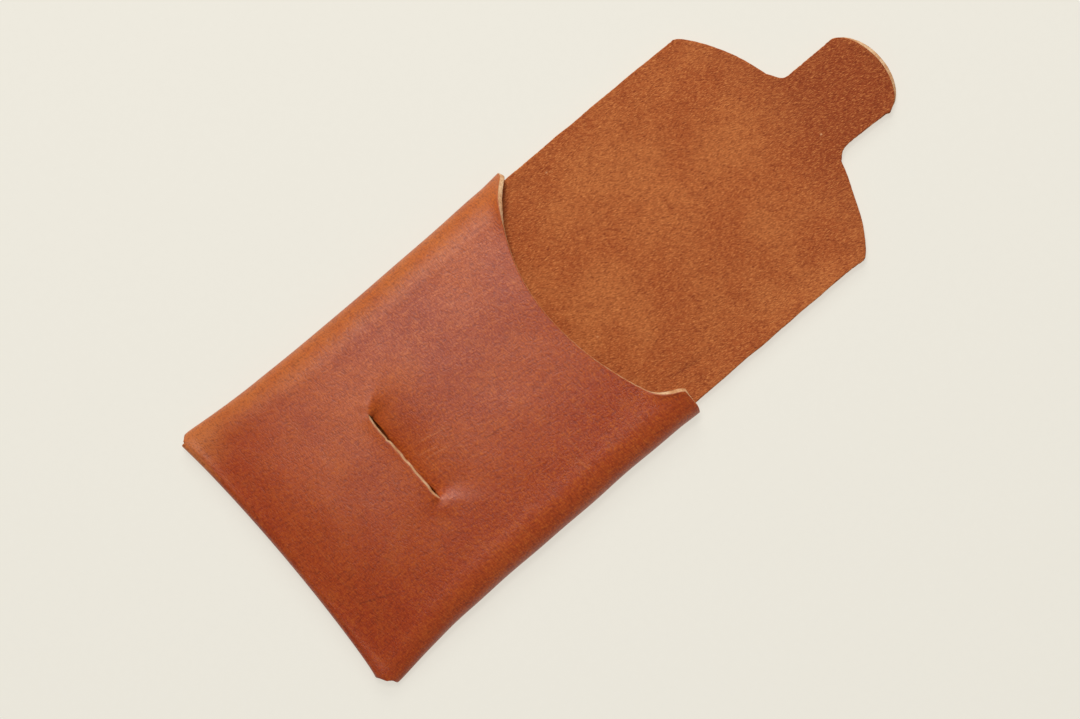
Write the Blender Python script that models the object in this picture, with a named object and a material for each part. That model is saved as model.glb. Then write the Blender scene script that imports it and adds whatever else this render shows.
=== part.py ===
"""A folded leather card case, made from one blank with no stitching.

The front panel's sides turn round to the back as two wings. The back panel turns up from the bottom fold,
lies between the front panel and the wings, and runs on past the mouth as the flap. The flap ends in a tab
that tucks into the slot in the front panel.

Lengths are in millimetres until they reach Blender. X runs across the case, Y runs along it from the
bottom fold to the tab, and Z points up out of the front panel.
"""

import math

import bpy
import numpy as np

MM = 0.001
LEATHER = 1.4
GAP = 0.3  # between one piece of the blank and the next
TAB_GAP = 0.5  # wider, so that two plates can turn against each other

# Heights of the middle of each layer
Z_WING = LEATHER / 2
Z_BACK = Z_WING + LEATHER + GAP
Z_FRONT = 9.0
CROWN = 0.3  # rise of the front panel from its side folds to its middle

# Outline of the closed part, with Y = 0 at the lowest points of the bottom fold
LENGTH = 190.7
HALF_WIDTH = 37.6
CORNER_FLARE = 2.05
FLARE_START = 3.5
FLARE_REACH = 17.0
MOUTH_FLARE = 0.3
BOTTOM_HALF_WIDTH = 36.8
BOTTOM_HOLLOW = 1.6
WING_WIDTH = 18.0
WING_TOP = 98.5

# Mouth of the front panel: a scoop that starts at the left fold and stops short of the right one
SCOOP_LEFT = -37.3
SCOOP_RIGHT = 31.2
SCOOP_BOTTOM = 88.7
SCOOP_DEPTH = 12.9
EAR_TOP = 101.8

# Slot in the front panel, with its lower lip raised and its upper lip pressed in
SLOT_Y = 40.0
SLOT_X = -0.4
SLOT_HALF = 13.5
SLOT_OPENING = 0.5
LIP_RISE = 1.2
LIP_DROP = 2.5
LIP_FLAT_HALF = 12.2

# Flap and tab
BACK_HALF_WIDTH = 35.0
FLAP_HALF_WIDTH = 35.5
FOLD_START = 102.0
FOLD_RADIUS = 4.75
FOLD_LENGTH = 2.4 * FOLD_RADIUS
SHOULDER_RADIUS = 53.6
SHOULDER_TOP = 169.2
SHOULDER_ROUND = 2.0
TAB_HALF_WIDTH = 11.3
TAB_ROOT = 168.8
TAB_BEND = TAB_ROOT + 9.6
TAB_ROUND = 7.0  # length of the tab's elliptical end


def bump(u):
    """1 at u = 0, falling smoothly to 0 at u = 1."""
    u = np.clip(u, 0.0, 1.0)
    return 1 - u * u * (3 - 2 * u)


def squeeze(y):
    """How far the sides are pressed flat at height y: 1 at the bottom corners, 0 higher up."""
    return np.exp(-(np.maximum(y - FLARE_START, 0.0) / FLARE_REACH) ** 1.2)


def half_width(y):
    return HALF_WIDTH + CORNER_FLARE * squeeze(y) + MOUTH_FLARE * (1 - bump((y - 80) / 20))


def fold_reach(y):
    """Widths of the upper and lower quarters of a side fold."""
    return 8.0 - 2.5 * squeeze(y), 2.2 + 1.2 * squeeze(y)


def flat_half_width(y):
    return half_width(y) - LEATHER / 2 - fold_reach(y)[0]


def side_height(y):
    return Z_FRONT - CROWN - 4.3 * squeeze(y)


def middle_height(y):
    return Z_FRONT - 3.6 * np.exp(-(np.maximum(y - 3.0, 0.0) / 9.0) ** 1.5)


def waist_height(y):
    """Height of the outermost line of a side fold."""
    return Z_WING + 0.375 * (side_height(y) - Z_WING)


def lip_shift(x, y, lower):
    """How far the leather beside the slot stands off the front panel. The lift spreads sideways as it fades."""
    away = abs(y - SLOT_Y)
    flat_half = LIP_FLAT_HALF - 0.15 * away
    across = bump((abs(x - SLOT_X) - flat_half) / (SLOT_HALF - LIP_FLAT_HALF + 1.2 * away))
    return across * (LIP_RISE * math.exp(-away / 2.5) if lower else -LIP_DROP * math.exp(-away / 6.0))


def wrap_point(p, y):
    """The point of the wrapped sheet's middle surface at height y. |p| runs from 0 at the middle of the front
    panel to 1 at the start of a side fold, 2 at its outermost line and 3 at the start of a wing."""
    side, p = np.sign(p), abs(p)
    upper, lower = fold_reach(y)
    flat, waist, top = flat_half_width(y), waist_height(y), side_height(y)
    if p <= 1:
        rise = (middle_height(y) - top) * (1 - p**3) ** 2
        return side * p * flat, y, top + rise
    angle = (p - 1) * math.pi / 2
    if p <= 2:
        x, z = flat + upper * math.sin(angle), waist + (top - waist) * math.cos(angle)
    else:
        x = half_width(y) - LEATHER / 2 - lower * (1 - math.sin(angle))
        z = waist + (waist - Z_WING) * math.cos(angle)
    return side * x, y, z


def mouth_y(x):
    """Height of the front panel's edge at x."""
    middle, half = (SCOOP_LEFT + SCOOP_RIGHT) / 2, (SCOOP_RIGHT - SCOOP_LEFT) / 2
    t = (x - middle) / half
    return min(EAR_TOP, SCOOP_BOTTOM + SCOOP_DEPTH * abs(t) ** (2.05 if t < 0 else 2.8))


def wrap_top(p):
    x = wrap_point(p, 95.0)[0]
    return mouth_y(x) - 1.5 * max(0.0, abs(p) - 2)


def wrap_bottom(p):
    """Where the wrapped sheet starts: above the bottom fold, and cut back at the corner."""
    x = wrap_point(p, FLARE_START)[0]
    above_fold = bottom_centre_y(min(abs(x), BOTTOM_HALF_WIDTH)) + GAP
    return above_fold + 1.3 * (1 - bump((abs(p) - 1.35) / 0.65)) + 0.6 * max(0.0, abs(p) - 2)


def bottom_radius(x):
    """Radius of the bottom fold, to the middle of the leather."""
    p = min(abs(x) / flat_half_width(FLARE_START), 1.35)
    return max(0.95, (wrap_point(p, FLARE_START)[2] - Z_BACK) / 2)


def bottom_centre_y(x):
    hollow = BOTTOM_HOLLOW * (1 - (x / BOTTOM_HALF_WIDTH) ** 2)
    return hollow + LEATHER / 2 + bottom_radius(x)


def clear_scene():
    for obj in list(bpy.data.objects):
        bpy.data.objects.remove(obj, do_unlink=True)


def leather(name, colour, roughness):
    material = bpy.data.materials.new(name)
    material.use_nodes = True
    shader = material.node_tree.nodes["Principled BSDF"]
    shader.inputs["Base Color"].default_value = (*colour, 1.0)
    shader.inputs["Roughness"].default_value = roughness
    shader.inputs["Metallic"].default_value = 0.0
    return material


def add_sheet(name, points, faces, material, smooth=True):
    """A piece of leather of constant thickness about a middle surface."""
    origin_y = LENGTH / 2
    mesh = bpy.data.meshes.new(name)
    mesh.from_pydata([(x * MM, (y - origin_y) * MM, z * MM) for x, y, z in points], [], faces)
    mesh.materials.append(material)
    obj = bpy.data.objects.new(name, mesh)
    bpy.context.scene.collection.objects.link(obj)
    solid = obj.modifiers.new("thickness", "SOLIDIFY")
    solid.thickness = LEATHER * MM
    solid.offset = 0.0
    solid.use_even_offset = True
    if smooth:
        mesh.shade_smooth()
    return obj


def grid_faces(rows, columns):
    """Quads over a grid stored row by row, facing up when rows run along +Y and columns along +X."""
    faces = []
    for j in range(rows - 1):
        for i in range(columns - 1):
            a = j * columns + i
            faces.append((a, a + 1, a + columns + 1, a + columns))
    return faces


def add_grid(name, rows, material):
    points = [point for row in rows for point in row]
    return add_sheet(name, points, grid_faces(len(rows), len(rows[0])), material)


def add_plate(name, outline, z, material):
    """A flat piece with this outline, given anticlockwise from above."""
    return add_sheet(name, [(x, y, z) for x, y in outline], [tuple(range(len(outline)))], material, False)


def front_columns():
    """Positions across the front panel, closer together by the ends of the slot."""
    flat = flat_half_width(SLOT_Y)
    across = [SLOT_X + s * d for d in (3.0, 7.5, 11.0, 12.2, 12.9, SLOT_HALF) for s in (-1, 1)]
    outer = [s * p for p in (0.55, 0.68, 0.84, 1.0, 1.12, 1.24, 1.35) for s in (-1, 1)]
    return sorted([x / flat for x in across] + outer)


def front_panel(material):
    """The front panel, with the slot as a cut between two rows of points."""
    columns = front_columns()
    flat = flat_half_width(SLOT_Y)
    below = (0.0, 0.06, 0.14, 0.25, 0.38, 0.52, 0.66, 0.78, 0.87, 0.93, 0.97, 1.0)
    above = (0.0, 0.025, 0.06, 0.11, 0.19, 0.3, 0.44, 0.6, 0.76, 0.9, 1.0)
    points, index = [], {}

    def add(key, p, y, lower, open_by=0.0):
        x, y, z = wrap_point(p, y)
        z += lip_shift(x, y, lower)
        index[key] = len(points)
        points.append((x, y + open_by, z))

    inside = [abs(p * flat - SLOT_X) < SLOT_HALF - 0.01 for p in columns]
    for i, p in enumerate(columns):
        start, end = wrap_bottom(p), wrap_top(p)
        for j, t in enumerate(below[:-1]):
            add((i, j), p, start + (SLOT_Y - start) * t, True)
        half_open = SLOT_OPENING / 2 if inside[i] else 0.0
        add((i, "lower"), p, SLOT_Y, True, -half_open)
        if inside[i]:
            add((i, "upper"), p, SLOT_Y, False, half_open)
        else:
            index[(i, "upper")] = index[(i, "lower")]
        for j, t in enumerate(above[1:]):
            add((i, j + 100), p, SLOT_Y + (end - SLOT_Y) * t, False)

    lower_rows = [*range(len(below) - 1), "lower"]
    upper_rows = ["upper", *range(100, 99 + len(above))]
    faces = []
    for rows in (lower_rows, upper_rows):
        for a, b in zip(rows, rows[1:]):
            for i in range(len(columns) - 1):
                faces.append((index[(i, a)], index[(i + 1, a)], index[(i + 1, b)], index[(i, b)]))
    return add_sheet("front_panel", points, faces, material)


def side_fold(name, side, material):
    """The leather that turns round one side, from the front panel to the wing."""
    gap = GAP / 10.5  # in wrap units: the fold's top quarter is about 10.5 mm per unit here
    columns = [side * p for p in np.linspace(1.35 + gap, 3.0, 12)]
    columns.sort()
    heights = (0.0, 0.05, 0.11, 0.18, 0.27, 0.38, 0.55, 0.75, 0.9, 1.0)
    rows = []
    for t in heights:
        row = []
        for p in columns:
            start, end = wrap_bottom(p), wrap_top(p)
            row.append(wrap_point(p, start + (end - start) * t))
        rows.append(row)
    return add_grid(name, rows, material)


def wing(name, side, material):
    """The flat part of a side that lies on the outside of the back panel."""

    def outer(y):
        return half_width(y) - LEATHER / 2 - fold_reach(y)[1] - GAP

    heights = (4.9, 8, 13, 19, 26, 35, 50, 75, WING_TOP)
    inner = outer(50) - WING_WIDTH
    outline = [(outer(y), y) for y in heights]
    outline += [(inner + 3, WING_TOP), (inner, WING_TOP - 6), (inner, 10), (inner + 4, 4.9)]
    if side < 0:
        outline = [(-x, y) for x, y in reversed(outline)]
    return add_plate(name, outline, Z_WING, material)


def bottom_fold(material):
    columns = np.linspace(-BOTTOM_HALF_WIDTH, BOTTOM_HALF_WIDTH, 15)
    rows = []
    for angle in np.radians(np.linspace(180, 0, 9)):
        row = []
        for x in columns:
            radius = bottom_radius(x)
            z = Z_BACK + radius * (1 + math.cos(angle))
            row.append((x, bottom_centre_y(x) - radius * math.sin(angle), z))
        rows.append(row)
    rows.reverse()
    obj = add_grid("bottom_fold", rows, material)
    obj.data.flip_normals()
    return obj


def back_panel(material):
    """The layer between the front panel and the wings, up to where the flap's fold starts."""
    across = np.linspace(-BACK_HALF_WIDTH, BACK_HALF_WIDTH, 15)
    outline = [(x, bottom_centre_y(x) + GAP) for x in across]
    outline += [(BACK_HALF_WIDTH, FOLD_START), (-BACK_HALF_WIDTH, FOLD_START)]
    return add_plate("back_panel", outline, Z_BACK, material)


def flap_fold(material):
    """The strip that bends as the flap turns over."""
    start, end = FOLD_START + GAP, FOLD_START + FOLD_LENGTH - GAP
    outline = [(BACK_HALF_WIDTH, start), (FLAP_HALF_WIDTH, end), (-FLAP_HALF_WIDTH, end), (-BACK_HALF_WIDTH, start)]
    return add_plate("flap_fold", outline, Z_BACK, material)


def shoulder_y(x):
    return SHOULDER_TOP - SHOULDER_RADIUS + math.sqrt(SHOULDER_RADIUS**2 - x * x)


def flap(material):
    """The flap, with shoulders on one arc and rounded outer corners."""
    start = FOLD_START + FOLD_LENGTH
    corner_x = FLAP_HALF_WIDTH - SHOULDER_ROUND
    corner_y = shoulder_y(corner_x) - SHOULDER_ROUND * 0.85
    right = [(FLAP_HALF_WIDTH, start)]
    for angle in np.radians(np.linspace(0, 50, 5)):
        right.append((corner_x + SHOULDER_ROUND * math.cos(angle), corner_y + SHOULDER_ROUND * math.sin(angle)))
    inner = TAB_HALF_WIDTH + 0.6
    for x in np.linspace(corner_x - 2, inner, 9):
        right.append((x, shoulder_y(x)))
    right.append((TAB_HALF_WIDTH, TAB_ROOT - TAB_GAP / 2))
    outline = right + [(-x, y) for x, y in reversed(right)]
    return add_plate("flap", outline, Z_BACK, material)


def tab_root(material):
    """The near part of the tab, which slopes down into the slot when it is tucked in."""
    start, end = TAB_ROOT + TAB_GAP / 2, TAB_BEND - TAB_GAP / 2
    w = TAB_HALF_WIDTH
    return add_plate("tab_root", [(w, start), (w, end), (-w, end), (-w, start)], Z_BACK, material)


def tab_tip(material):
    """The far part of the tab, with a round end."""
    start, round_start = TAB_BEND + TAB_GAP / 2, LENGTH - TAB_ROUND
    outline = [(TAB_HALF_WIDTH, start)]
    for angle in np.radians(np.linspace(0, 180, 17)):
        outline.append((TAB_HALF_WIDTH * math.cos(angle), round_start + TAB_ROUND * math.sin(angle)))
    outline.append((-TAB_HALF_WIDTH, start))
    return add_plate("tab_tip", outline, Z_BACK, material)


def main():
    clear_scene()
    grain = leather("grain_leather", (0.38, 0.10, 0.04), 0.42)
    flesh = leather("flesh_leather", (0.38, 0.12, 0.035), 0.85)
    front_panel(grain)
    side_fold("left_side_fold", -1, grain)
    side_fold("right_side_fold", 1, grain)
    bottom_fold(grain)
    wing("left_wing", -1, grain)
    wing("right_wing", 1, grain)
    back_panel(flesh)
    flap_fold(flesh)
    flap(flesh)
    tab_root(flesh)
    tab_tip(flesh)


main()
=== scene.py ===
"""A folded leather card case, lying open on its back.

The case is one blank of thick leather. Its middle surface is built as grids in millimetres, with X
across the case, Y from the bottom fold to the tab and Z up. It then gets its thickness, its rounded cut
edges and a "flat" attribute, which says where each point lies in the flat blank, so that grain and nap
run on over the folds.
"""

import math

import bpy
import numpy as np
from mathutils import Matrix, Vector


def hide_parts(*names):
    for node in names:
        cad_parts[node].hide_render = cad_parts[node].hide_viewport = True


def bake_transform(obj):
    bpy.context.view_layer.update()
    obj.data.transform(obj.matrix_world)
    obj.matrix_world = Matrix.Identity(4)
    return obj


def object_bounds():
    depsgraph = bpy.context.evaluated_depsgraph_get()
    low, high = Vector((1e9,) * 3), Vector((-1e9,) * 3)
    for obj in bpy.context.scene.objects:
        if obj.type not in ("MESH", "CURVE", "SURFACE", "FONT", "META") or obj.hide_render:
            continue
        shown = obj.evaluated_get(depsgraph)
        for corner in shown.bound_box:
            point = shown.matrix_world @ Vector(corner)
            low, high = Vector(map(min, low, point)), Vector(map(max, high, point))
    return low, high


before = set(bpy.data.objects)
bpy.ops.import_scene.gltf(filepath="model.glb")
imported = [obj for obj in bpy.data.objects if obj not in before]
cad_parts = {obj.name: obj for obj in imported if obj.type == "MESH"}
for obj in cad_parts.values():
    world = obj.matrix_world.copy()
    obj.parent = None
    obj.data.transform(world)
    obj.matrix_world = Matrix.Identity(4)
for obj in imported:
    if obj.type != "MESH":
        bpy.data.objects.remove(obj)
CAD_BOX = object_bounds()

MM = 0.001
LEATHER = 1.4
HALF = LEATHER / 2
EDGE_ROUND = 0.24
EDGE_BULGE = 0.03
EDGE_ROUGHNESS = 0.03
SHARP_ANGLE = 60  # degrees, above which a fold in the mesh is shaded as an edge

# Heights of the leather's middle surface
Z_WING = HALF + 0.02
Z_BACK = 2.4
Z_FRONT = 9.5
CROWN = 1.3
CORNER_DROP = 4.3  # how much lower the sides are where the bottom corners are pressed flat
BOTTOM_DROP = 4.1  # how much lower the middle is by the bottom fold
BOTTOM_SLOPE = 12.0  # length over which it rises from there
WAIST = 0.375  # height of a side fold's outermost line, as a share of the side's height

# The pouch
LENGTH = 190.7
HALF_WIDTH = 37.5
CORNER_FLARE = 2.3
FLARE_START = 3.5
FLARE_REACH = 15.0
MOUTH_FLARE = 0.2
UPPER_REACH, UPPER_PRESSED = 8.0, 5.5  # width of a side fold's upper quarter, in general and pressed flat
LOWER_REACH, LOWER_PRESSED = 2.2, 3.4
BOTTOM_END = 37.8
BOTTOM_HOLLOW = 1.75
WING_WIDTH = 18.0
FOLD_RADIUS_LEAST = 0.75

# Lengths in the flat blank: half the front panel, a side fold above and below its outermost line, and the
# part that the bottom fold takes up
FLAT_FRONT = 29.0
FLAT_UPPER = 10.3
FLAT_LOWER = 4.6
FLAT_BOTTOM = 6.0

# The mouth: a scoop, steeper towards its right end, between a pointed and a square ear
SCOOP_MIDDLE = -4.5
SCOOP_BOTTOM = 88.3
LEFT_EAR = 101.7
RIGHT_EAR = 102.0
EAR_SHARPNESS = 4.0
EAR_LEVEL = 97.0  # where the pouch's width is taken for placing the mouth's outline

# The slot that holds the tab
SLOT_Y = 40.0
SLOT_X = -0.6
SLOT_HALF = 13.2
LIP_RISE = 0.9
LIP_DROP = 2.4

# Shares of the height below and above the slot in which the grid's rows are closer, by the slot and the mouth
SLOT_BAND = 0.14
MOUTH_BAND = 0.10
CLOSING_IN = 1.2  # above 1, rows get closer towards the edge

# The flap and its tab
BACK_HALF_WIDTH = 35.0
FLAP_HALF_WIDTH = 35.55
FOLD_START = 102.0
FOLD_LENGTH = 11.4
SHOULDER_RADIUS = 53.6
SHOULDER_TOP = 168.9
SHOULDER_ROUND = 2.2
NECK = 0.39
NECK_Y = 167.2
TAB_BEND = 178.4
TAB_ROUND = 7.0
TIP_CURL = 1.1
BODY_TOP = 150.0  # the grid's rows run straight across up to here, and ease into the curved end above it

# Marks on the front panel, from point to point in the flat blank: pale creases, and dark lines of painted
# shade in creases
LIGHT_CREASES = [((-1.2, 44.4), (0.6, 53.3)), ((3.0, 43.5), (4.4, 51.0)), ((1.2, 42.5), (2.6, 48.0))]
CREASE_SHADE_LINES = [((16.8, 8.5), (19.4, 12.8)), ((18.9, 12.4), (21.8, 17.6)), ((8.5, 57.0), (9.5, 63.0))]

# A crease across the flap, where it enters the pouch, painted as a dark line of shade
FLESH_CREASE_SHADE = [((26.3, -106.6), (27.7, -111.4)), ((27.2, -109.8), (27.9, -115.6))]

ORIGIN = Vector((0.0, CAD_BOX[1][1] / MM - LENGTH, 0.0))


def bump(u):
    """1 at u = 0, falling smoothly to 0 at u = 1."""
    u = np.clip(u, 0.0, 1.0)
    return 1 - u * u * (3 - 2 * u)


def rise(u):
    return 1 - bump(u)


def hill(u):
    return np.exp(-u * u)


def waves(x, y, size, seed, count=10):
    """Smooth irregular relief, about -1 to 1, whose features are about size across."""
    rng = np.random.default_rng(seed)
    total = np.zeros(np.broadcast(x, y).shape)
    for _ in range(count):
        turn, phase = rng.uniform(0, 2 * math.pi, 2)
        k = 2 * math.pi / (size * rng.uniform(1.3, 3.2))
        total = total + np.sin(k * (x * math.cos(turn) + y * math.sin(turn)) + phase)
    return total / math.sqrt(count)


# ---------------------------------------------------------------- shape of the pouch


def drift(y):
    """Sideways wander of the case's middle line, as hand-cut leather has."""
    return 0.22 + 0.35 * bump(y / 30) - 0.38 * rise((y - 45) / 45) - 0.2 * rise((y - 98) / 12)


def squeeze(y):
    """How far the sides are pressed flat at height y: 1 at the bottom corners, 0 higher up."""
    return np.exp(-((np.maximum(y - FLARE_START, 0.0) / FLARE_REACH) ** 1.2))


def half_width(y):
    return HALF_WIDTH + CORNER_FLARE * squeeze(y) + MOUTH_FLARE * rise((y - 80) / 20)


def fold_reach(y):
    """Widths of the upper and lower quarters of a side fold."""
    pressed = squeeze(y)
    upper = UPPER_REACH + (UPPER_PRESSED - UPPER_REACH) * pressed
    return upper, LOWER_REACH + (LOWER_PRESSED - LOWER_REACH) * pressed


def flat_half_width(y):
    return half_width(y) - HALF - fold_reach(y)[0]


def side_height(y):
    return Z_FRONT - CROWN - CORNER_DROP * squeeze(y)


def middle_height(y):
    return Z_FRONT - BOTTOM_DROP * np.exp(-((np.maximum(y - 3.0, 0.0) / BOTTOM_SLOPE) ** 1.25))


def waist_height(y):
    return Z_WING + WAIST * (side_height(y) - Z_WING)


def wrap_point(p, y):
    """Points of the wrapped sheet's middle surface. |p| runs from 0 at the middle of the front panel to 1
    at the start of a side fold, 2 at its outermost line, 3 at the start of a wing and 4 at the wing's
    inner edge."""
    side, p = np.sign(p), np.abs(p)
    upper, lower = fold_reach(y)
    flat, waist, top = flat_half_width(y), waist_height(y), side_height(y)
    angle = (np.clip(p, 1, 3) - 1) * math.pi / 2
    crown = (middle_height(y) - top) * (1 - np.minimum(p, 1) ** 2.2) ** 1.3
    edge = half_width(y) - HALF - lower
    x = [
        p * flat,
        flat + upper * np.sin(angle),
        edge + lower * np.sin(angle),
        edge - (p - 3) * WING_WIDTH,
    ]
    z = [
        top + crown,
        waist + (top - waist) * np.cos(angle),
        waist + (waist - Z_WING) * np.cos(angle),
        np.full_like(y, Z_WING),
    ]
    part = [p <= 1, p <= 2, p <= 3]
    return side * np.select(part, x[:3], x[3]), np.select(part, z[:3], z[3])


def lip_shift(x, y, lower):
    """How far the leather beside the slot stands off the front panel. The lift spreads as it fades."""
    away = np.abs(y - SLOT_Y)
    along = (x - SLOT_X) / SLOT_HALF
    half = SLOT_HALF - 1.3 - 0.15 * away
    across = bump((np.abs(x - SLOT_X) - half) / (1.3 + 1.2 * away))
    right = rise((along + 0.3) / 1.2)
    if lower:
        return across * LIP_RISE * (0.5 + 0.5 * right) * np.exp(-away / (1.8 + 2.6 * right))
    return -across * LIP_DROP * (1 - 0.25 * right) * np.exp(-away / 6.0)


def mouth_y(x):
    """Height of the front panel's edge at x."""
    away = x - SCOOP_MIDDLE
    left = 0.0110 * away**2 + 8e-7 * away**4 + 1.3 * np.clip((-away - 28.5) / 3.5, 0, 1) ** 1.5
    steep = 4.7 * np.clip((away - 28.8) / 6.6, 0, 2) ** 2.8
    right = 0.0074 * away**2 + steep
    scoop = SCOOP_BOTTOM + np.where(away < 0, left, right)
    corner = 1.5 * rise((x - 35.3) / 3.2) ** 1.6
    over = EAR_SHARPNESS * (scoop - RIGHT_EAR)
    ear = RIGHT_EAR + (scoop - RIGHT_EAR - np.logaddexp(0, over) / EAR_SHARPNESS)
    return np.where(x < 0, np.minimum(LEFT_EAR, scoop), ear - corner)


def wrap_top(p):
    """Where the wrapped sheet ends: at the mouth, and a little lower on the side folds and wings."""
    at = np.full_like(p, EAR_LEVEL)
    x = wrap_point(p, at)[0] + drift(at)
    past = np.maximum(0.0, np.abs(p) - 2)
    return mouth_y(x) - 1.5 * np.minimum(past, 1) - 1.8 * np.maximum(0, past - 1)


def mouth_lift(x, y, edge):
    """How far the leather curls up by the mouth's edge."""
    away = np.maximum(edge - y, 0)
    left = 0.9 * rise((-24 - x) / 9) * np.exp(-away / 1.6)
    right = 0.7 * rise((x - 24) / 6) * bump((x - 31) / 3) * np.exp(-away / 2.0)
    return left + right + 0.12 * np.exp(-away / 3.0)


def mouth_bevel(x):
    """How far the mouth's cut face slants out. It is in view at both ears and tucked under between them."""
    left = 0.53 * rise((-26 - x) / 8)
    right = 0.14 * rise((x - 6) / 10) + 0.16 * rise((x - 25) / 4) * bump((x - 30.5) / 2)
    return left + right - 0.1


def bottom_y(x):
    """Height of the bottom edge's outline at x."""
    return BOTTOM_HOLLOW * (1 - ((x + 2.4) / 38.5) ** 2) - 0.25 * (x / 37.5) ** 8


def bottom_radius(x):
    """Radius of the bottom fold, to the middle of the leather."""
    y = np.full_like(x, FLARE_START)
    reach = np.maximum((np.abs(x) - flat_half_width(y)) / fold_reach(y)[0], 0)
    on_fold = 1 + np.arcsin(np.minimum(reach, 1)) * 2 / math.pi
    p = np.where(reach > 0, on_fold, np.abs(x) / flat_half_width(y))
    return np.maximum(FOLD_RADIUS_LEAST, (wrap_point(p, y)[1] - Z_BACK) / 2)


def fold_end():
    """The wrap parameter at the end of the bottom fold."""
    y = np.array(FLARE_START)
    return 1 + math.asin(float((BOTTOM_END - flat_half_width(y)) / fold_reach(y)[0])) * 2 / math.pi


PAST_FOLD = fold_end()


def bottom_centre(x):
    """Y of the line that the bottom fold turns round. The right corner is cut away a little."""
    return bottom_y(x + drift(0)) + HALF + bottom_radius(x) + 0.8 * rise((x - 36.7) / 1.1)


def wrap_bottom(p):
    """Where the wrapped sheet starts: on the bottom fold and, past its end, on the corner's slant."""
    x = wrap_point(p, np.full_like(p, FLARE_START))[0]
    join = bottom_centre(np.clip(x, -BOTTOM_END, BOTTOM_END))
    past = np.maximum(0.0, np.abs(p) - PAST_FOLD)
    outer = wrap_point(np.clip(p, -2, 2), np.full_like(p, FLARE_START))[0]
    world = np.abs(outer + drift(3))
    left = 1.3 + 1.43 * (world - 37.9)
    right = 2.1 + 0.52 * (world - 38.5) + 0.35 * rise((world - 39.5) / 0.6)
    cut = np.where(p < 0, left, right) + 0.6 * np.maximum(0, np.abs(p) - 2)
    return np.where(past > 0, join + (cut - join) * rise(past / 0.1), join)


# ---------------------------------------------------------------- shape of the flap


def flap_x(c, y):
    """Sideways place of the flap's or back panel's column c, from -1 to 1, at height y."""
    near_bottom = bump((y - 2) / 6.0)
    half = BACK_HALF_WIDTH + (BOTTOM_END - BACK_HALF_WIDTH) * near_bottom
    half = half + (FLAP_HALF_WIDTH - BACK_HALF_WIDTH) * rise((y - 88) / 10)
    half = half - 0.2 * rise((y - 118) / 30)
    corner = 0.45 * hill((y - 156) / 5) * np.maximum(c, 0) ** 4
    corner = corner + 0.25 * rise((y - 143) / 9) * np.maximum(-c, 0) ** 4
    by_mouth = 0.12 * hill((y - 101) / 5) * np.minimum(c, 0) ** 7
    rough = 0.07 * waves(np.sign(c) * 40.0, y, 5, 11) * np.abs(c) ** 5 * rise((y - 90) / 10)
    return drift(y) + c * half + corner + by_mouth + rough


def shoulder_y(c):
    """Outline of the flap's far end."""
    x = c * FLAP_HALF_WIDTH
    corner = FLAP_HALF_WIDTH - SHOULDER_ROUND
    over = np.clip(np.abs(x) - corner, 0, SHOULDER_ROUND)
    arc = SHOULDER_TOP - SHOULDER_RADIUS + np.sqrt(SHOULDER_RADIUS**2 - np.minimum(np.abs(x), corner) ** 2)
    round_off = 0.77 * over
    round_off = round_off + 0.4 * (SHOULDER_ROUND - np.sqrt(np.maximum(SHOULDER_ROUND**2 - over**2, 0)))
    uneven = 0.95 * rise((x - 20) / 12) + 0.25 * rise((-x - 19) / 9) + 0.05 * waves(x, 0.0, 4, 12)
    return np.where(np.abs(c) <= NECK + 1e-6, NECK_Y, arc - round_off + uneven)


def flap_z(c, y):
    """The flap lies almost flat. Its right border rises a little, its left border curls up by the mouth,
    and a crease runs into the pouch."""
    x = c * FLAP_HALF_WIDTH
    open_part = rise((y - 101) / 12) * bump((y - 148) / 18)
    z = 0.08 * waves(x, y, 14, 21) * open_part
    z = z + 0.45 * rise((x - 29.5) / 6.5) * rise((y - 104) / 10) * bump((y - 146) / 12)
    z = z + 0.45 * rise((-x - 31) / 4.5) * hill((y - 102) / 7)
    line = 27.2 + 0.27 * (y - 105) + 0.35 * np.sin(y * 0.9)
    z = z - 0.28 * hill((x - line) / 0.7) * hill((y - 105.5) / 4.5)
    return Z_BACK + z


def tab_sides(y):
    """The left and right edges of the tab at height y, with a fillet where each meets the flap."""
    flare = np.exp(-((np.maximum(y - NECK_Y, 0) / 1.35) ** 1.4))
    neck_left, neck_right = flap_x(-NECK, NECK_Y), flap_x(NECK, NECK_Y)
    left = -10.65 + 0.05 * waves(3.0, y, 3, 13)
    right = 11.35 + 0.4 * rise((y - 173) / 10) + 0.3 * rise((y - 184) / 3) + 0.05 * waves(9.0, y, 3, 14)
    left = left + (neck_left - left) * flare
    right = right + (neck_right - right) * flare
    return left, right


# ---------------------------------------------------------------- middle surface to thick leather

GRAIN, FLESH, EDGE = range(3)  # material slots


class Surface:
    """A middle surface of quads, made of grids that may share points."""

    def __init__(self):
        self.points, self.flat, self.bevels, self.faces, self.count = [], [], [], [], 0

    def add(self, points, flat, bevel=0.0):
        """Adds an array of points and returns their indices, in the same layout. flat is their place in
        the flat blank, and bevel how far the cut edge slants out towards the flesh side."""
        points = np.asarray(points, float)
        shape = points.shape[:-1]
        number = int(np.prod(shape))
        self.points.append(points.reshape(-1, 3))
        self.flat.append(np.asarray(flat, float).reshape(-1, 2))
        self.bevels.append(np.broadcast_to(bevel, shape).reshape(-1))
        self.count += number
        return np.arange(self.count - number, self.count).reshape(shape)

    def quads(self, index):
        """Faces over a grid of indices. Seen from the grain side, columns run right and rows run up."""
        corners = index[:-1, :-1], index[:-1, 1:], index[1:, 1:], index[1:, :-1]
        self.faces.append(np.stack([c.ravel() for c in corners], 1))

    def arrays(self):
        return [np.concatenate(a) for a in (self.points, self.flat, self.bevels, self.faces)]


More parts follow.
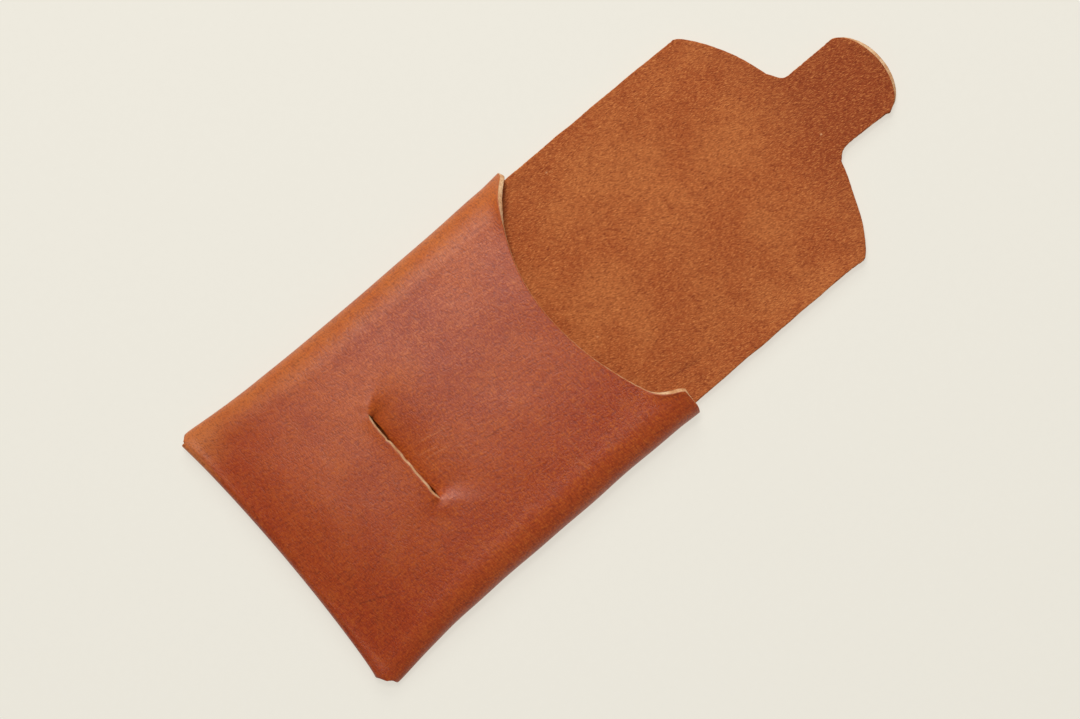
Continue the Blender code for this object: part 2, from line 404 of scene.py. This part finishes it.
def vertex_normals(points, faces):
    a, b, c, d = (points[faces[:, i]] for i in range(4))
    across = np.cross(c - a, d - b)
    normals = np.zeros_like(points)
    for i in range(4):
        np.add.at(normals, faces[:, i], across)
    return normals / np.maximum(np.linalg.norm(normals, axis=1, keepdims=True), 1e-12)


def boundary_edges(faces):
    """Directed edges that only one face uses."""
    edges = np.concatenate([faces[:, [i, (i + 1) % 4]] for i in range(4)])
    key = np.sort(edges, axis=1)
    key = key[:, 0].astype(np.int64) * (faces.max() + 1) + key[:, 1]
    _, first, counts = np.unique(key, return_index=True, return_counts=True)
    return edges[first[counts == 1]]


def outward_directions(points, normals, rim, seams):
    """The way each rim point faces, along the sheet and away from it."""
    out = np.zeros_like(points)
    sideways = np.cross(points[rim[:, 1]] - points[rim[:, 0]], normals[rim[:, 0]] + normals[rim[:, 1]])
    for i in range(2):
        np.add.at(out, rim[:, i], sideways)
    for row in seams:
        for end in (row[0], row[-1]):
            out[end, 1] = 0.0
    out -= normals * (out * normals).sum(1, keepdims=True)
    return out / np.maximum(np.linalg.norm(out, axis=1, keepdims=True), 1e-9)


def edge_profile():
    """(how far out, how high) for the rings of a cut edge, from the grain side to the flesh side."""
    h, r = HALF, EDGE_ROUND
    k = r * (1 - math.sqrt(0.5))
    upper = [(-r, h), (-k, h - k), (0.0, h - r), (EDGE_BULGE, h / 3)]
    return upper + [(b, -z) for b, z in reversed(upper)]


def open_rim(edges, seams):
    """The boundary edges that lie on no seam."""
    joined = {frozenset(pair) for row in seams for pair in zip(row[:-1].tolist(), row[1:].tolist())}
    return edges[[frozenset(edge) not in joined for edge in edges.tolist()]]


def edge_rings(points, normals, out, bevels):
    """Points along a cut edge's profile, ring by ring, for rim points that face the way out points."""
    rough = EDGE_ROUGHNESS * waves(points[:, 0] * 3 + points[:, 2] * 2, points[:, 1] * 3, 2.0, 5)
    rings = []
    for reach, z in edge_profile():
        slant = bevels * (HALF - z) / LEATHER + rough * (abs(z) < HALF)
        rings.append(points + out * (reach + slant)[:, None] + normals * z)
    return rings


def leather_faces(faces, rim, levels, n):
    """Both sides of a sheet and the cut edges between them, as polygons with their material slots."""
    polygons, slots = [faces, faces[:, ::-1] + n], [np.zeros(len(faces), int), np.ones(len(faces), int)]
    a, b = rim.T
    last = len(levels) - 2
    for i, (upper, lower) in enumerate(zip(levels, levels[1:])):
        polygons.append(np.stack([upper[b], upper[a], lower[a], lower[b]], 1))
        slots.append(np.full(len(rim), GRAIN if i == 0 else FLESH if i == last else EDGE))
    return np.concatenate(polygons).tolist(), np.concatenate(slots).tolist()


def wall(row, levels, n):
    """The flat end that a piece turns to the next one along a seam."""
    down = [int(level[row[-1]]) for level in levels[1:-1]]
    up = [int(level[row[0]]) for level in reversed(levels[1:-1])]
    return [int(v) for v in row] + down + [int(v) + n for v in reversed(row)] + up


def thicken(name, surface, materials, seams=()):
    """Turns a middle surface into a closed piece of leather. materials are for the grain side, which is
    the way the faces look, the flesh side and the cut edge. seams are rows of points where the piece meets
    another."""
    points, flat, bevels, faces = surface.arrays()
    n = len(points)
    normals = vertex_normals(points, faces)
    edges = boundary_edges(faces)
    rim = open_rim(edges, seams)
    out = outward_directions(points, normals, rim, seams)
    on_rim = np.unique(rim)
    ring = np.full(n, -1)
    ring[on_rim] = np.arange(len(on_rim))

    rings = edge_rings(points[on_rim], normals[on_rim], out[on_rim], bevels[on_rim])
    top, bottom = points + normals * HALF, points - normals * HALF
    top[on_rim], bottom[on_rim] = rings[0], rings[-1]
    middle = rings[1:-1]
    depths = [np.full(len(on_rim), z) for _, z in edge_profile()[1:-1]]
    depth = np.concatenate([np.full(n, HALF), np.full(n, -HALF), *depths])
    where = np.concatenate([flat, flat] + [flat[on_rim]] * len(middle))
    levels = [np.arange(n)]
    levels += [2 * n + i * len(on_rim) + ring for i in range(len(middle))]
    levels += [np.arange(n) + n]

    polygons, slots = leather_faces(faces, rim, levels, n)
    directed = {tuple(edge) for edge in edges.tolist()}
    for row in seams:
        backwards = (int(row[0]), int(row[1])) in directed
        polygons.append(wall(row[::-1] if backwards else row, levels, n))
        slots.append(EDGE)
    verts = np.concatenate([top, bottom, *middle])
    return make_piece(name, verts, polygons, slots, np.column_stack([where, depth]), materials)


def make_piece(name, verts, polygons, slots, flat, materials):
    mesh = bpy.data.meshes.new(name)
    mesh.from_pydata(((verts + np.array(ORIGIN)) * MM).tolist(), [], polygons)
    mesh.polygons.foreach_set("material_index", slots)
    mesh.shade_smooth()
    mesh.set_sharp_from_angle(angle=math.radians(SHARP_ANGLE))
    attribute = mesh.attributes.new("flat", "FLOAT_VECTOR", "POINT")
    attribute.data.foreach_set("vector", flat.astype(np.float32).ravel())
    for material in materials:
        mesh.materials.append(material)
    mesh.validate()
    piece = bpy.data.objects.new(name, mesh)
    bpy.context.scene.collection.objects.link(piece)
    return piece


# ---------------------------------------------------------------- the grids


def spaced(knots, step):
    """Positions from the first knot to the last, through every knot, about step apart."""
    out = [knots[0]]
    for a, b in zip(knots, knots[1:]):
        n = max(1, round((b - a) / step))
        out += list(np.linspace(a, b, n + 1)[1:])
    return np.array(out)


def wrap_columns():
    """Wrap parameters of the grid's columns, through the slot's ends and the sides of the neck."""
    slot_flat, neck_flat = (float(flat_half_width(np.array(y))) for y in (SLOT_Y, FLARE_START))
    near = [0.8, 0.93, 0.975, 1.0]
    centre = SLOT_X - drift(SLOT_Y)
    slot = [(centre + side * SLOT_HALF * t) / slot_flat for t in near for side in (-1, 1)]
    neck = [side * NECK * BOTTOM_END / neck_flat for side in (-1, 1)]
    middle = spaced(sorted([-1.0, 1.0, *slot, *neck]), 0.7 / slot_flat)
    fold = spaced([1.0, PAST_FOLD, 2.0], 0.6 / FLAT_UPPER)[1:]
    under = spaced([2.0, 3.0], 0.5 / 5.0)[1:]
    wing = spaced([3.0, 4.0], 1.2 / WING_WIDTH)[1:]
    right = np.concatenate([fold, under, wing])
    return np.concatenate([-right[::-1], middle, right])


def flat_across(p):
    """Distance across the flat blank for a wrap parameter."""
    side, p = np.sign(p), np.abs(p)
    widths = [FLAT_FRONT, FLAT_UPPER, FLAT_LOWER, WING_WIDTH]
    return side * sum(width * np.clip(p - start, 0, 1) for start, width in enumerate(widths))


def front_relief(x, y):
    """Uneven shape of the front panel: slow waves, and a small mound beyond each end of the slot."""
    right = hill((x - SLOT_X - SLOT_HALF - 2.4) / 1.6) * hill((y - SLOT_Y + 0.3) / 1.8)
    left = hill((x - SLOT_X + SLOT_HALF + 1.8) / 1.6) * hill((y - SLOT_Y - 1.0) / 1.8)
    return 0.10 * waves(x, y, 18, 1) + 0.03 * waves(x, y, 6, 2) + 0.22 * right + 0.12 * left


def slot_lips(p):
    """Heights of the slot's lower and upper lip in each column, and which columns the slot crosses. It
    gapes near its left end and a little at its right end, bows down between them and has a nick."""
    at = np.full_like(p, SLOT_Y)
    x = wrap_point(p, at)[0] + drift(at)
    inside = np.abs(x - SLOT_X) < SLOT_HALF - 0.01
    t = np.clip((x - SLOT_X) / SLOT_HALF, -1, 1)
    closing = np.sqrt(1 - t**8)
    gape = (0.08 + 0.34 * hill((t + 0.68) / 0.32) + 0.3 * hill((t - 0.82) / 0.14)) * closing
    nick = (0.07 * waves(x, 0.0, 2.0, 8) + 0.25 * hill((x + 6.2) / 0.5)) * closing
    bow = 0.25 * (1 - t**2)
    return SLOT_Y - gape - bow - nick, SLOT_Y + gape - bow - 0.6 * nick, inside


def wrap_block(p, low, high, share, lower):
    """Points, places in the flat blank and bevels, for rows at these shares of the way from low to high."""
    y = low + (high - low) * share[:, None]
    pp = np.broadcast_to(p, y.shape)
    x, z = wrap_point(pp, y)
    x = x + drift(y)
    on_front = bump((np.abs(pp) - 1.0) / 1.0)
    z = z + (lip_shift(x, y, lower) + front_relief(x, y)) * on_front
    side = np.sign(pp) * rise((np.abs(pp) - 1.2) / 0.8) * bump((np.abs(pp) - 3.0) / 0.5)
    x = x + side * 0.07 * waves(np.sign(pp) * 50, y, 9, 15) * rise((y - 12) / 10)
    bevel = np.full_like(x, 0.1)
    if not lower:
        z = z + mouth_lift(x, y, high) * bump((np.abs(pp) - 1.9) / 0.6)
        x = x + (0.4 * np.minimum(side, 0) + 0.25 * np.maximum(side, 0)) * rise((y - 95) / 7)
        bevel = mouth_bevel(x)
    return np.stack([x, y, z], -1), np.stack([flat_across(pp), y], -1), bevel


def build_wrap(surface):
    """Front panel, side folds and wings. Returns the columns and the indices of the lowest row."""
    p = wrap_columns()
    lower_lip, upper_lip, inside = slot_lips(p)
    below_slot = 1 - SLOT_BAND * np.linspace(1, 0, 11) ** CLOSING_IN
    below = np.concatenate([np.linspace(0, 1 - SLOT_BAND, 46)[:-1], below_slot])
    above_slot = SLOT_BAND * np.linspace(0, 1, 12) ** CLOSING_IN
    near_mouth = 1 - MOUTH_BAND * np.linspace(1, 0, 11) ** CLOSING_IN
    between = np.linspace(SLOT_BAND, 1 - MOUTH_BAND, 60)[1:-1]
    above = np.concatenate([above_slot, between, near_mouth])
    points, flat, bevel = wrap_block(p, wrap_bottom(p), lower_lip, below, True)
    bevel[-1] = np.where(inside, 0.12 + 0.2 * rise((flat[-1, :, 0] + 7.5) / 3), bevel[-1])
    lower_index = surface.add(points, flat, bevel)
    points, flat, bevel = wrap_block(p, upper_lip, wrap_top(p), above, False)
    upper_index = surface.add(points[1:], flat[1:], bevel[1:])
    first = lower_index[-1].copy()
    first[inside] = surface.add(points[0, inside], flat[0, inside])
    surface.quads(lower_index)
    surface.quads(np.concatenate([first[None], upper_index]))
    return p, lower_index[0]


def build_bottom_fold(surface, x0, height):
    """The half-round fold along the bottom, from just under the front panel down to the back panel. Its
    ends are cut at a slant."""
    radius, centre = bottom_radius(x0), bottom_centre(x0)
    points, flat = [], []
    for angle in np.radians(np.linspace(180, 0, 15)[1:-1]):
        out = math.sin(angle)
        slant = (np.abs(x0) / BOTTOM_END) ** 14 * out**0.7 * np.where(x0 < 0, -0.4, 2.2)
        x = x0 + drift(0) - np.sign(x0) * slant
        z = Z_BACK + (height - Z_BACK) * (1 - math.cos(angle)) / 2
        points.append(np.stack([x, centre - radius * out, z], -1))
        flat.append(np.stack([x0, (angle - math.pi) * radius + centre], -1))
    return surface.add(points, flat), centre


def blank_place(x, y):
    """Place in the flat blank of points on the back panel, the flap or the tab."""
    return np.stack([x, -y - FLAT_BOTTOM], -1)


def body_rows(centre, columns):
    """Heights of the rows from the bottom fold to the flap's end, for each column."""
    body = spaced([0.0, 6.0, FOLD_START], 1.1)
    hinge = spaced([FOLD_START, FOLD_START + FOLD_LENGTH], 0.5)[1:]
    outer = spaced([FOLD_START + FOLD_LENGTH, BODY_TOP], 0.9)[1:]
    rows = [centre + (BODY_TOP - centre) * (y / BODY_TOP) for y in np.concatenate([body, hinge, outer])]
    shares = spaced([0.0, 0.75, 1.0], 0.05)[1:]
    return np.array(rows + [BODY_TOP + (shoulder_y(columns) - BODY_TOP) * t for t in shares])


def build_flap(surface, p, lowest):
    """Bottom fold, back panel and flap. Returns the row of points at the neck and its columns."""
    on_fold = np.abs(p) < PAST_FOLD + 1e-6
    join = lowest[on_fold]
    x0, height = wrap_point(p[on_fold], np.full(on_fold.sum(), FLARE_START))
    fold_index, centre = build_bottom_fold(surface, x0, height)
    c = x0 / BOTTOM_END
    y = body_rows(centre, c)
    cc = np.broadcast_to(c, y.shape)
    points = np.stack([flap_x(cc, y), y, flap_z(cc, y)], -1)
    index = surface.add(points, blank_place(points[..., 0], y), 0.05)
    surface.quads(np.concatenate([index[::-1], fold_index[::-1], join[None]]))
    neck = np.abs(c) <= NECK + 1e-6
    return index[-1][neck], c[neck] / NECK


def tab_grid(surface, s, y, x):
    """One part of the tab. Its end curls up, and the cut face shows there on the right."""
    lift = TIP_CURL * np.clip((y - 185.0) / 5.5, 0, 1) ** 2
    points = np.stack([x, y, Z_BACK + lift], -1)
    bevel = 0.05 - 0.75 * rise((y - 184.0) / 3.0) * rise((s + 0.9) / 0.8)
    index = surface.add(points, blank_place(x, y), bevel)
    surface.quads(index[::-1])
    return index


def build_tab_root(surface, s):
    y = spaced([NECK_Y, NECK_Y + 3.2, TAB_BEND], 0.45)[:, None] * np.ones_like(s)
    left, right = tab_sides(y)
    index = tab_grid(surface, s, y, left + (right - left) * (s + 1) / 2)
    return [index[0], index[-1]]


def build_tab_tip(surface, s):
    """The tab's end is half an ellipse, with a small hooked corner on its right."""
    share = spaced([0.0, 0.8, 1.0], 0.045)[:, None] * np.ones_like(s)
    far = LENGTH - TAB_ROUND + TAB_ROUND * np.cos(s * math.pi / 2) - 0.05 * (1 - s)
    y = TAB_BEND + (far - TAB_BEND) * share
    left, right = tab_sides(y)
    spread = s + (np.sin(s * math.pi / 2) - s) * share
    x = left + (right - left) * (spread + 1) / 2
    x = x + 0.45 * hill((y - 184.0) / 0.9) * np.maximum(s, 0) ** 6 * share
    index = tab_grid(surface, s, y, x)
    return [index[0]]


# ---------------------------------------------------------------- materials


def linear(value):
    """Linear light for a screen value from 0 to 255."""
    return value / 255 / 12.92 if value < 10.3 else ((value / 255 + 0.055) / 1.055) ** 2.4


def tint(red, green, blue):
    """A colour given as it looks on a screen, as linear light."""
    return linear(red), linear(green), linear(blue), 1


class Graph:
    """Builds a material's nodes. Coordinates are millimetres in the flat blank."""

    def __init__(self, name):
        self.material = bpy.data.materials.new(name)
        self.material.use_nodes = True
        self.tree = self.material.node_tree
        self.shader = self.tree.nodes["Principled BSDF"]

    def node(self, kind, settings=(), **inputs):
        node = self.tree.nodes.new("ShaderNode" + kind)
        for key, value in dict(settings).items():
            setattr(node, key, value)
        for key, value in inputs.items():
            self.feed(node.inputs[key.replace("_", " ")], value)
        return node

    def feed(self, socket, value):
        if isinstance(value, bpy.types.NodeSocket):
            self.tree.links.new(value, socket)
        else:
            socket.default_value = value

    def math(self, operation, *values, clamp=False):
        node = self.node("Math", {"operation": operation, "use_clamp": clamp})
        for socket, value in zip(node.inputs, values):
            self.feed(socket, value)
        return node.outputs[0]

    def flat(self):
        """The place in the flat blank, as a vector and as its three parts."""
        vector = self.node("Attribute", {"attribute_name": "flat"}).outputs["Vector"]
        parts = self.node("SeparateXYZ", Vector=vector).outputs
        return vector, parts[0], parts[1], parts[2]

    def stretched(self, vector, angle, width, length):
        """Coordinates in which features are width wide and length long, along a line at angle from +Y."""
        kind = {"vector_type": "POINT"}
        turn = (0, 0, math.radians(angle))
        turned = self.node("Mapping", kind, Vector=vector, Rotation=turn).outputs[0]
        return self.node("Mapping", kind, Vector=turned, Scale=(1 / width, 1 / length, 1)).outputs[0]

    def noise(self, vector, size=1.0, detail=3.0, roughness=0.5, seed=0.0):
        """Soft noise about 0.5, with features about size across."""
        node = self.node("TexNoise", {"noise_dimensions": "4D"}, Vector=vector, W=seed, Scale=1 / size)
        self.feed(node.inputs["Detail"], detail)
        self.feed(node.inputs["Roughness"], roughness)
        return node.outputs["Fac"]

    def cells(self, vector):
        """Distance from the middle of irregular cells, each about 1 across."""
        return self.node("TexVoronoi", Vector=vector, Scale=1.0).outputs["Distance"]

    def warped(self, vector, size, reach):
        """The vector, moved about by up to reach, so that lines wander."""
        colour = self.node("TexNoise", Vector=vector, Scale=1 / size, Detail=2.0).outputs["Color"]
        centred = self.node("VectorMath", {"operation": "SUBTRACT"})
        self.feed(centred.inputs[0], colour)
        self.feed(centred.inputs[1], (0.5, 0.5, 0.5))
        added = self.node("VectorMath", {"operation": "MULTIPLY_ADD"})
        self.feed(added.inputs[0], centred.outputs[0])
        self.feed(added.inputs[1], (2 * reach, 2 * reach, 0))
        self.feed(added.inputs[2], vector)
        return added.outputs[0]

    def line(self, vector, start, end, width):
        """1 on the straight line from start to end, easing to 0 at width from it."""
        (x, y), across = start, Vector(end) - Vector(start)
        parts = self.node("SeparateXYZ", Vector=vector).outputs
        dx, dy = self.math("SUBTRACT", parts[0], x), self.math("SUBTRACT", parts[1], y)
        share = self.math("MULTIPLY_ADD", dx, across.x, self.math("MULTIPLY", dy, across.y))
        share = self.math("DIVIDE", share, across.length_squared, clamp=True)
        left_x = self.math("MULTIPLY_ADD", share, -across.x, dx)
        left_y = self.math("MULTIPLY_ADD", share, -across.y, dy)
        squared = self.math("MULTIPLY_ADD", left_x, left_x, self.math("MULTIPLY", left_y, left_y))
        away = self.math("SQRT", squared)
        fade = self.math("MULTIPLY", share, self.math("SUBTRACT", 1.0, share))
        return self.math("MULTIPLY", self.span(away, width, 0.0), self.span(fade, 0.0, 0.15))

    def creased(self, colour, vector, creases, width, share, crease_colour):
        """The colour with lines of another one over it, each from point to point."""
        for start, end in creases:
            faint = self.math("MULTIPLY", self.line(vector, start, end, width), share)
            colour = self.mix(faint, colour, crease_colour)
        return colour

    def span(self, value, low, high, out_low=0.0, out_high=1.0):
        """value eased from out_low at low to out_high at high."""
        node = self.node("MapRange", {"interpolation_type": "SMOOTHSTEP"}, Value=value)
        limits = {"From Min": low, "From Max": high, "To Min": out_low, "To Max": out_high}
        for key, limit in limits.items():
            self.feed(node.inputs[key], limit)
        return node.outputs["Result"]

    def mix(self, share, a, b):
        """Colour a, with a share of colour b."""
        node = self.node("Mix", {"data_type": "RGBA"})
        for name, value in (("Factor_Float", share), ("A_Color", a), ("B_Color", b)):
            self.feed(next(s for s in node.inputs if s.identifier == name), value)
        return next(s for s in node.outputs if s.identifier == "Result_Color")

    def bump(self, height, depth, normal=None):
        """Relief whose height runs from 0 to 1 over depth, in millimetres."""
        node = self.node("Bump", Height=height, Strength=1.0, Distance=depth * MM)
        if normal is not None:
            self.feed(node.inputs["Normal"], normal)
        return node.outputs["Normal"]

    def finish(self, colour, roughness, normal, **constants):
        for key, value in {"Base Color": colour, "Roughness": roughness, "Normal": normal}.items():
            self.feed(self.shader.inputs[key], value)
        for key, value in constants.items():
            self.shader.inputs[key.replace("_", " ")].default_value = value
        return self.material


def grain_leather():
    """The smooth side: waxed, red-brown, paler where it is stretched over a fold, with painted light on the
    left fold, painted shade towards the right, the bottom and in dark creases, and a fine broken grain.
    """
    g = Graph("leather_grain")
    flat, across, along, _ = g.flat()
    wander = g.warped(flat, 3.0, 0.3)

    broad = g.noise(flat, 24, 3, seed=1.0)
    cloud = g.noise(flat, 4, 4, 0.65, seed=2.0)
    colour = g.mix(g.span(broad, 0.35, 0.65), tint(172, 67, 18), tint(188, 84, 26))
    # Darker and redder towards the right side and the bottom: painted shade where the panel turns away from
    # the light, over a redder tone of the leather
    colour = g.mix(g.span(across, -10.0, 30.0, 0.0, 0.6), colour, tint(172, 56, 8))
    colour = g.mix(g.span(along, 34.0, 6.0, 0.0, 0.6), colour, tint(170, 56, 8))
    colour = g.mix(g.span(cloud, 0.45, 0.7, 0.0, 0.35), colour, tint(192, 92, 30))

    uneven = g.span(g.noise(flat, 5, 4, 0.6, seed=3.0), 0.25, 0.7, 0.5, 1.0)
    # Paler on the side folds: the leather's pull-up where it is stretched, and on the left fold also painted
    # light, as that side faces the lamp
    pull_up_and_light = g.math("MULTIPLY", g.span(across, -28.0, -35.0, 0.0, 0.8), uneven)
    colour = g.mix(pull_up_and_light, colour, tint(204, 114, 52))
    # Paler towards the bottom-left corner
    pressed = g.math("MULTIPLY", g.span(across, -22.0, -32.0, 0.0, 0.75), g.span(along, 13.0, 4.0))
    colour = g.mix(pressed, colour, tint(206, 116, 58))
    pull_up_and_light = g.math("MULTIPLY", g.span(across, 27.0, 33.0, 0.0, 0.35), uneven)
    colour = g.mix(pull_up_and_light, colour, tint(196, 84, 28))

    streaks = g.noise(g.stretched(wander, 86, 0.6, 14.0), 1, 4, 0.6, seed=4.0)
    patchy = g.span(g.noise(flat, 18, 2, seed=5.0), 0.38, 0.6)
    streaks = g.math("MULTIPLY", g.span(streaks, 0.5, 0.8, 0.0, 0.5), patchy)
    colour = g.mix(streaks, colour, tint(210, 114, 50))
    colour = g.creased(colour, wander, LIGHT_CREASES, 0.35, 0.28, tint(226, 140, 84))
    bent = g.warped(flat, 1.2, 0.35)
    # Painted shade: dark lines where the leather is creased
    colour = g.creased(colour, bent, CREASE_SHADE_LINES, 0.42, 0.36, tint(88, 24, 8))

    pores = g.cells(g.stretched(wander, 80, 0.40, 0.7))
    fine = g.noise(g.stretched(wander, 84, 0.27, 0.8), 1, 4, 0.7, seed=6.0)
    hairs = g.noise(g.stretched(wander, 8, 0.3, 2.2), 1, 3, 0.65, seed=7.0)
    grain = g.math("MULTIPLY_ADD", pores, -0.45, g.math("MULTIPLY_ADD", fine, 1.3, hairs))
    colour = g.mix(g.span(grain, 0.95, 0.6, 0.0, 0.44), colour, tint(98, 28, 8))
    bright = g.math("MULTIPLY", g.span(grain, 0.92, 1.25), g.span(along, 8.0, 50.0, 0.28, 0.5))
    colour = g.mix(bright, colour, tint(226, 122, 40))
    lengthways = g.noise(g.stretched(wander, 5, 0.34, 6.0), 1, 3, 0.6, seed=9.0)
    crossways = g.noise(g.stretched(wander, 88, 0.34, 5.0), 1, 3, 0.6, seed=10.0)
    rubbed = g.span(g.noise(flat, 16, 2, seed=11.0), 0.35, 0.6)
    worn = g.math("MULTIPLY", g.span(across, -22.0, 12.0), rubbed)
    weave = g.math("MAXIMUM", lengthways, crossways)
    woven = g.math("MULTIPLY", g.span(weave, 0.58, 0.72, 0.0, 0.42), worn)
    colour = g.mix(woven, colour, tint(98, 28, 10))

    roughness = g.span(fine, 0.3, 0.7, 0.34, 0.43)
    normal = g.bump(fine, 0.02)
    normal = g.bump(g.span(grain, 0.4, 1.2), 0.035, normal)
    normal = g.bump(g.noise(flat, 3, 3, seed=8.0), 0.06, normal)
    return g.finish(colour, roughness, normal, Specular_IOR_Level=0.5)


def flesh_leather():
    """The raw side: short combed fibres, matt, mottled darker and paler, with painted shade on the tab and
    along the crease where the flap enters the pouch.
    """
    g = Graph("leather_flesh")
    flat, _, along, _ = g.flat()
    wander = g.warped(flat, 1.6, 0.3)
    fibres = g.noise(g.stretched(wander, -15, 0.14, 0.75), 1, 3, 0.6, seed=1.0)
    tufts = g.noise(g.stretched(wander, -28, 0.42, 1.2), 1, 4, 0.65, seed=2.0)
    broad = g.noise(flat, 14, 3, seed=3.0)
    blotch = g.noise(flat, 3.5, 4, 0.6, seed=4.0)
    colour = g.mix(g.span(broad, 0.35, 0.65), tint(182, 93, 45), tint(198, 112, 58))
    colour = g.mix(g.span(blotch, 0.45, 0.25, 0.0, 0.5), colour, tint(150, 66, 28))
    # Painted shade along the crease where the flap enters the pouch
    colour = g.creased(colour, wander, FLESH_CREASE_SHADE, 0.8, 0.45, tint(112, 36, 16))
    # Painted shade: the tab darker, as if tilted away from the light
    tab = g.span(along, -158.0, -180.0, 0.0, 0.74)
    colour = g.mix(tab, colour, tint(150, 62, 28))
    colour = g.mix(g.span(tufts, 0.56, 0.32, 0.0, 0.55), colour, tint(136, 58, 26))
    colour = g.mix(g.span(fibres, 0.48, 0.32, 0.0, 0.74), colour, tint(106, 38, 20))
    colour = g.mix(g.span(fibres, 0.5, 0.68, 0.0, 0.8), colour, tint(234, 150, 84))
    specks = g.cells(g.stretched(wander, -15, 8.0, 11.0))
    colour = g.mix(g.span(specks, 0.05, 0.02, 0.0, 0.8), colour, tint(242, 180, 126))
    height = g.math("MULTIPLY_ADD", tufts, 0.7, fibres)
    normal = g.bump(height, 0.085)
    sheen = {"Sheen_Weight": 0.1, "Sheen_Roughness": 0.5}
    return g.finish(colour, 0.88, normal, Specular_IOR_Level=0.2, **sheen)


def cut_edge():
    """Undyed fibres where the leather was cut, darker towards its two faces."""
    g = Graph("leather_edge")
    flat, _, _, depth = g.flat()
    fibres = g.noise(g.warped(flat, 1.0, 0.3), 0.35, 4, 0.7, seed=1.0)
    patches = g.noise(flat, 2.2, 3, seed=2.0)
    colour = g.mix(g.span(patches, 0.35, 0.65), tint(222, 164, 112), tint(246, 206, 160))
    colour = g.mix(g.span(fibres, 0.55, 0.3, 0.0, 0.6), colour, tint(160, 92, 52))
    near_face = g.span(g.math("ABSOLUTE", depth), 0.43, 0.6)
    colour = g.mix(g.math("MULTIPLY", near_face, 0.8), colour, tint(170, 92, 50))
    return g.finish(colour, 0.85, g.bump(fibres, 0.12), Specular_IOR_Level=0.25)


def floor_card():
    """Pale card with a very fine tooth, in metres. It glows a little, so that shadows on it stay faint."""
    g = Graph("floor_card")
    place = g.node("TexCoord").outputs["Object"]
    tooth = g.noise(place, 0.002, 3, seed=1.0)
    colour = g.mix(g.span(tooth, 0.3, 0.7), (0.218, 0.210, 0.187, 1), (0.224, 0.216, 0.192, 1))
    glow = {"Emission_Color": (0.85, 0.82, 0.73, 1), "Emission_Strength": 0.76}
    return g.finish(colour, 0.9, g.bump(tooth, 0.002), **glow)


# ---------------------------------------------------------------- the scene


def at(y):
    """The point of the flap's middle surface at height y, in metres."""
    return tuple((Vector((0, y, Z_BACK)) + ORIGIN) * MM)


def build_case():
    materials = [grain_leather(), flesh_leather(), cut_edge()]
    body = Surface()
    neck, s = build_flap(body, *build_wrap(body))
    sheet = thicken("leather_blank", body, materials, [neck])
    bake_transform(sheet)
    pouch = ["front_panel", "left_side_fold", "right_side_fold", "bottom_fold", "left_wing", "right_wing"]
    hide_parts(*pouch, "back_panel", "flap_fold", "flap")

    root = Surface()
    tab_root = thicken("tab_root_leather", root, materials, build_tab_root(root, s))
    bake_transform(tab_root)
    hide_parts("tab_root")

    tip = Surface()
    tab_tip = thicken("tab_tip_leather", tip, materials, build_tab_tip(tip, s))
    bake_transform(tab_tip)
    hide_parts("tab_tip")


def add_floor():
    mesh = bpy.data.meshes.new("floor")
    size = 3.0
    corners = [(-size, -size, 0), (size, -size, 0), (size, size, 0), (-size, size, 0)]
    mesh.from_pydata(corners, [], [(0, 1, 2, 3)])
    mesh.materials.append(floor_card())
    floor = bpy.data.objects.new("floor", mesh)
    bpy.context.scene.collection.objects.link(floor)


def area_light(name, place, size, power, colour):
    data = bpy.data.lights.new(name, "AREA")
    data.shape, data.size, data.energy, data.color = "DISK", size, power, colour
    light = bpy.data.objects.new(name, data)
    light.location = place
    light.rotation_euler = (-Vector(place)).to_track_quat("-Z", "Y").to_euler()
    bpy.context.scene.collection.objects.link(light)


def add_lights():
    area_light("key", (-0.80, 0.55, 0.85), 0.7, 6.0, (1.0, 0.99, 0.97))
    area_light("softbox", (-0.32, 0.11, 0.92), 0.3, 4.2, (1.0, 0.98, 0.98))
    world = bpy.data.worlds.new("studio")
    world.use_nodes = True
    background = world.node_tree.nodes["Background"]
    background.inputs["Color"].default_value = (1.0, 0.985, 0.96, 1)
    background.inputs["Strength"].default_value = 0.20
    bpy.context.scene.world = world


def add_camera():
    """Looks straight down, turned so that the case runs from lower left to upper right."""
    view_width = 262.1 * MM
    tilt = math.radians(40.34)
    data = bpy.data.cameras.new("camera")
    data.lens, data.sensor_width = 100, 36
    height = data.lens / data.sensor_width * view_width + 4 * MM
    place = Matrix.Translation((2.83 * MM, -15.25 * MM, height))
    camera = bpy.data.objects.new("camera", data)
    camera.matrix_world = place @ Matrix.Rotation(math.pi / 2 - tilt, 4, "Z")
    bpy.context.scene.collection.objects.link(camera)
    bpy.context.scene.camera = camera
    bpy.context.scene.view_settings.view_transform = "Standard"


build_case()
add_floor()
add_lights()
add_camera()
